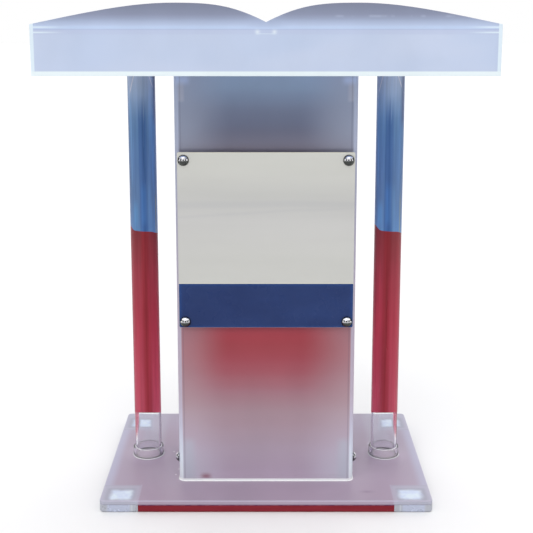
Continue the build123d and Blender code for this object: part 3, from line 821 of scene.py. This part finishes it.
def cove(radius, steps=5):
    """Hollow fillet section as (outwards, up) pairs; its hidden corner is just inside the wall."""
    bite = -0.0003
    arc = [(radius * (1 - math.cos(a)), radius * (1 - math.sin(a)))
           for a in (math.pi / 2 * i / steps for i in range(steps + 1))]
    return [(bite, radius), *arc, (radius, bite), (bite, bite)]


def add_run(mesh, path, level, section, closed):
    """One bead: the section carried along a path of (x, y, outwards x, outwards y)."""
    rings = [[mesh.verts.new((x + out * nx, y + out * ny, level + up)) for out, up in section]
             for x, y, nx, ny in path]
    count = len(section)
    pairs = list(zip(rings, rings[1:]))
    if closed:
        pairs.append((rings[-1], rings[0]))
    for a, b in pairs:
        for i in range(count):
            j = (i + 1) % count
            mesh.faces.new((a[i], a[j], b[j], b[i]))
    if not closed:
        mesh.faces.new(rings[0])
        mesh.faces.new(list(reversed(rings[-1])))


def make_bead(name, runs, material):
    """A piece of one or more beads. A run is (path, level, radius, closed)."""
    mesh = bmesh.new()
    for path, level, radius, closed in runs:
        add_run(mesh, path, level, cove(radius), closed)
    bmesh.ops.recalc_face_normals(mesh, faces=mesh.faces)
    data = bpy.data.meshes.new(name)
    mesh.to_mesh(data)
    mesh.free()
    for face in data.polygons:
        face.use_smooth = True
    piece = bpy.data.objects.new(name, data)
    bpy.context.scene.collection.objects.link(piece)
    paint(material, piece)
    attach(piece, "root")
    return piece


def column_foot_path():
    """Round the outside of the column's U, from one rear edge to the other."""
    right, front, back = COLUMN_HIGH.x, COLUMN_LOW.y, COLUMN_HIGH.y - 0.0012
    path = [(-right, back, -1, 0)]
    for centre_x, start in ((-right + BEND, math.pi), (right - BEND, 1.5 * math.pi)):
        for i in range(9):
            a = start + math.pi / 2 * i / 8
            nx, ny = math.cos(a), math.sin(a)
            path.append((centre_x + BEND * nx, front + BEND + BEND * ny, nx, ny))
    path.append((right, back, 1, 0))
    return path


def circle_path(x, y, radius, outwards=1, count=72):
    """Round a circle. outwards is 1 for a bead round its outside, -1 for one inside it."""
    turns = [(math.cos(a), math.sin(a)) for a in (2 * math.pi * i / count for i in range(count))]
    return [(x + radius * c, y + radius * d, outwards * c, outwards * d) for c, d in turns]


def cement_material():
    """Whitish, wet-looking solvent cement."""
    s = Shader("cement_bead")
    cloud = s.step(s.noise(90, 3), 0.3, 0.7)
    s.set("Base Color", s.mix(cloud, (0.93, 0.95, 0.98), (0.99, 1.0, 1.0)))
    s.set("Roughness", s.step(s.noise(60, 2), 0.3, 0.7, 0.08, 0.2))
    s.set("Transmission Weight", 0.10)
    s.set("IOR", 1.46)
    s.bump(s.noise(120, 2), 0.0003, 0.4)
    return s.material


def make_beads():
    cement = cement_material()
    base_top = BASE_HIGH.z
    round_column = (column_foot_path(), base_top, COLUMN_BEAD, False)
    make_bead("column_foot_bead", [round_column], cement)
    for name, side in (("left", -1), ("right", 1)):
        x = side * TUBE.x
        runs = [
            (circle_path(x, TUBE.y, COLLAR_RADIUS), base_top, COLLAR_FOOT_BEAD, True),
            (circle_path(x, TUBE.y, TUBE_RADIUS), COLLAR_HIGH.z, COLLAR_TOP_BEAD, True),
            (circle_path(x, TUBE.y, TUBE_RADIUS - TUBE_WALL, -1), base_top, TUBE_FOOT_BEAD, True),
        ]
        make_bead(f"tube_collar_beads_{name}", runs, cement)
    floor = BOTTOM_PLATE_HIGH.z
    half = PANEL_HIGH.x - SHEET
    near, far = PANEL_HIGH.y, BOTTOM_PLATE_HIGH.y - 0.002
    runs = [
        ([(-half, near, 1, 0), (-half, far, 1, 0)], floor, DESK_BEAD, False),
        ([(half, near, -1, 0), (half, far, -1, 0)], floor, DESK_BEAD, False),
        ([(-half, near, 0, 1), (half, near, 0, 1)], floor, DESK_BEAD, False),
    ]
    make_bead("desk_inside_beads", runs, cement)


# ---- stage, light and camera ----
FLOOR_SIZE = 60.0
FLAG_DEGREES = (167, 219, 270, 321, 373)
FLAG_DISTANCE = 5.0
FLAG_HEIGHT = 1.5
FLAG_SIZE = (2.9, 2.4)
CAMERA_PLACE = (0.001, -2.53, 1.142)
CAMERA_DOWN = 10.2   # degrees below level
CAMERA_LENS = 71.6   # mm, on a 36 mm sensor
CAMERA_SHIFT = -0.13


def add_plane(name, size, place, tilt, material):
    bpy.ops.mesh.primitive_plane_add(size=1, location=place, rotation=tilt)
    plane = bpy.context.object
    plane.name = name
    plane.scale = (*size, 1)
    plane.data.materials.append(material)
    return plane


def only_in_reflections(plane):
    """For a flag or a mirrored floor: it changes what polished pieces mirror, and nothing else."""
    plane.visible_camera = False
    plane.visible_diffuse = False
    plane.visible_transmission = False
    plane.visible_shadow = False
    plane.visible_volume_scatter = False


def make_floors():
    """A floor for the camera, and under it the two halves that polished pieces mirror."""
    level, under, half = (0, 0, 0), -0.002, FLOOR_SIZE / 2
    pale = plain_material("studio_floor", PALE_FLOOR)
    floor = add_plane("studio_floor", (FLOOR_SIZE, FLOOR_SIZE), (0, 0, 0), level, pale)
    floor.visible_glossy = False
    grey = plain_material("studio_floor_mirrored", MIRRORED_GREY)
    front = add_plane("mirrored_floor", (FLOOR_SIZE, half), (0, -half / 2, under), level, grey)
    only_in_reflections(front)
    pale = plain_material("studio_floor_behind", PALE_FLOOR)
    rear = add_plane("mirrored_floor_behind", (FLOOR_SIZE, half), (0, half / 2, under), level, pale)
    only_in_reflections(rear)


def make_flags():
    """Black flags in a ring round the front and the sides, for the chrome to mirror."""
    black = plain_material("studio_flag", FLAG_BLACK)
    for i, degrees in enumerate(FLAG_DEGREES):
        a = math.radians(degrees)
        place = (FLAG_DISTANCE * math.cos(a), FLAG_DISTANCE * math.sin(a), FLAG_HEIGHT)
        upright = (math.pi / 2, 0, a + math.pi / 2)
        only_in_reflections(add_plane(f"flag_{i}", FLAG_SIZE, place, upright, black))


def make_world():
    world = bpy.data.worlds.new("studio")
    bpy.context.scene.world = world
    world.use_nodes = True
    background = world.node_tree.nodes["Background"]
    background.inputs["Color"].default_value = (1.0, 1.0, 1.0, 1)
    background.inputs["Strength"].default_value = 1.0


def add_sun(name, direction, strength, softness):
    data = bpy.data.lights.new(name, "SUN")
    data.energy = strength
    data.angle = math.radians(softness)
    light = bpy.data.objects.new(name, data)
    light.rotation_euler = Vector(direction).to_track_quat("-Z", "Y").to_euler()
    bpy.context.scene.collection.objects.link(light)


def make_lights():
    add_sun("key", (0.15, 0.80, -1.0), 0.50, 50)
    add_sun("back", (-0.3, -0.8, -1.3), 0.30, 60)


def make_camera():
    data = bpy.data.cameras.new("camera")
    camera = bpy.data.objects.new("camera", data)
    bpy.context.scene.collection.objects.link(camera)
    bpy.context.scene.camera = camera
    data.sensor_width = 36.0
    data.lens = CAMERA_LENS
    data.shift_y = CAMERA_SHIFT
    camera.location = CAMERA_PLACE
    camera.rotation_euler = (math.radians(90 - CAMERA_DOWN), 0, 0)
    data.clip_start, data.clip_end = 0.05, 120


paint_everything()
make_beads()
make_floors()
make_flags()
make_world()
make_lights()
make_camera()
bpy.context.scene.view_settings.view_transform = "Standard"
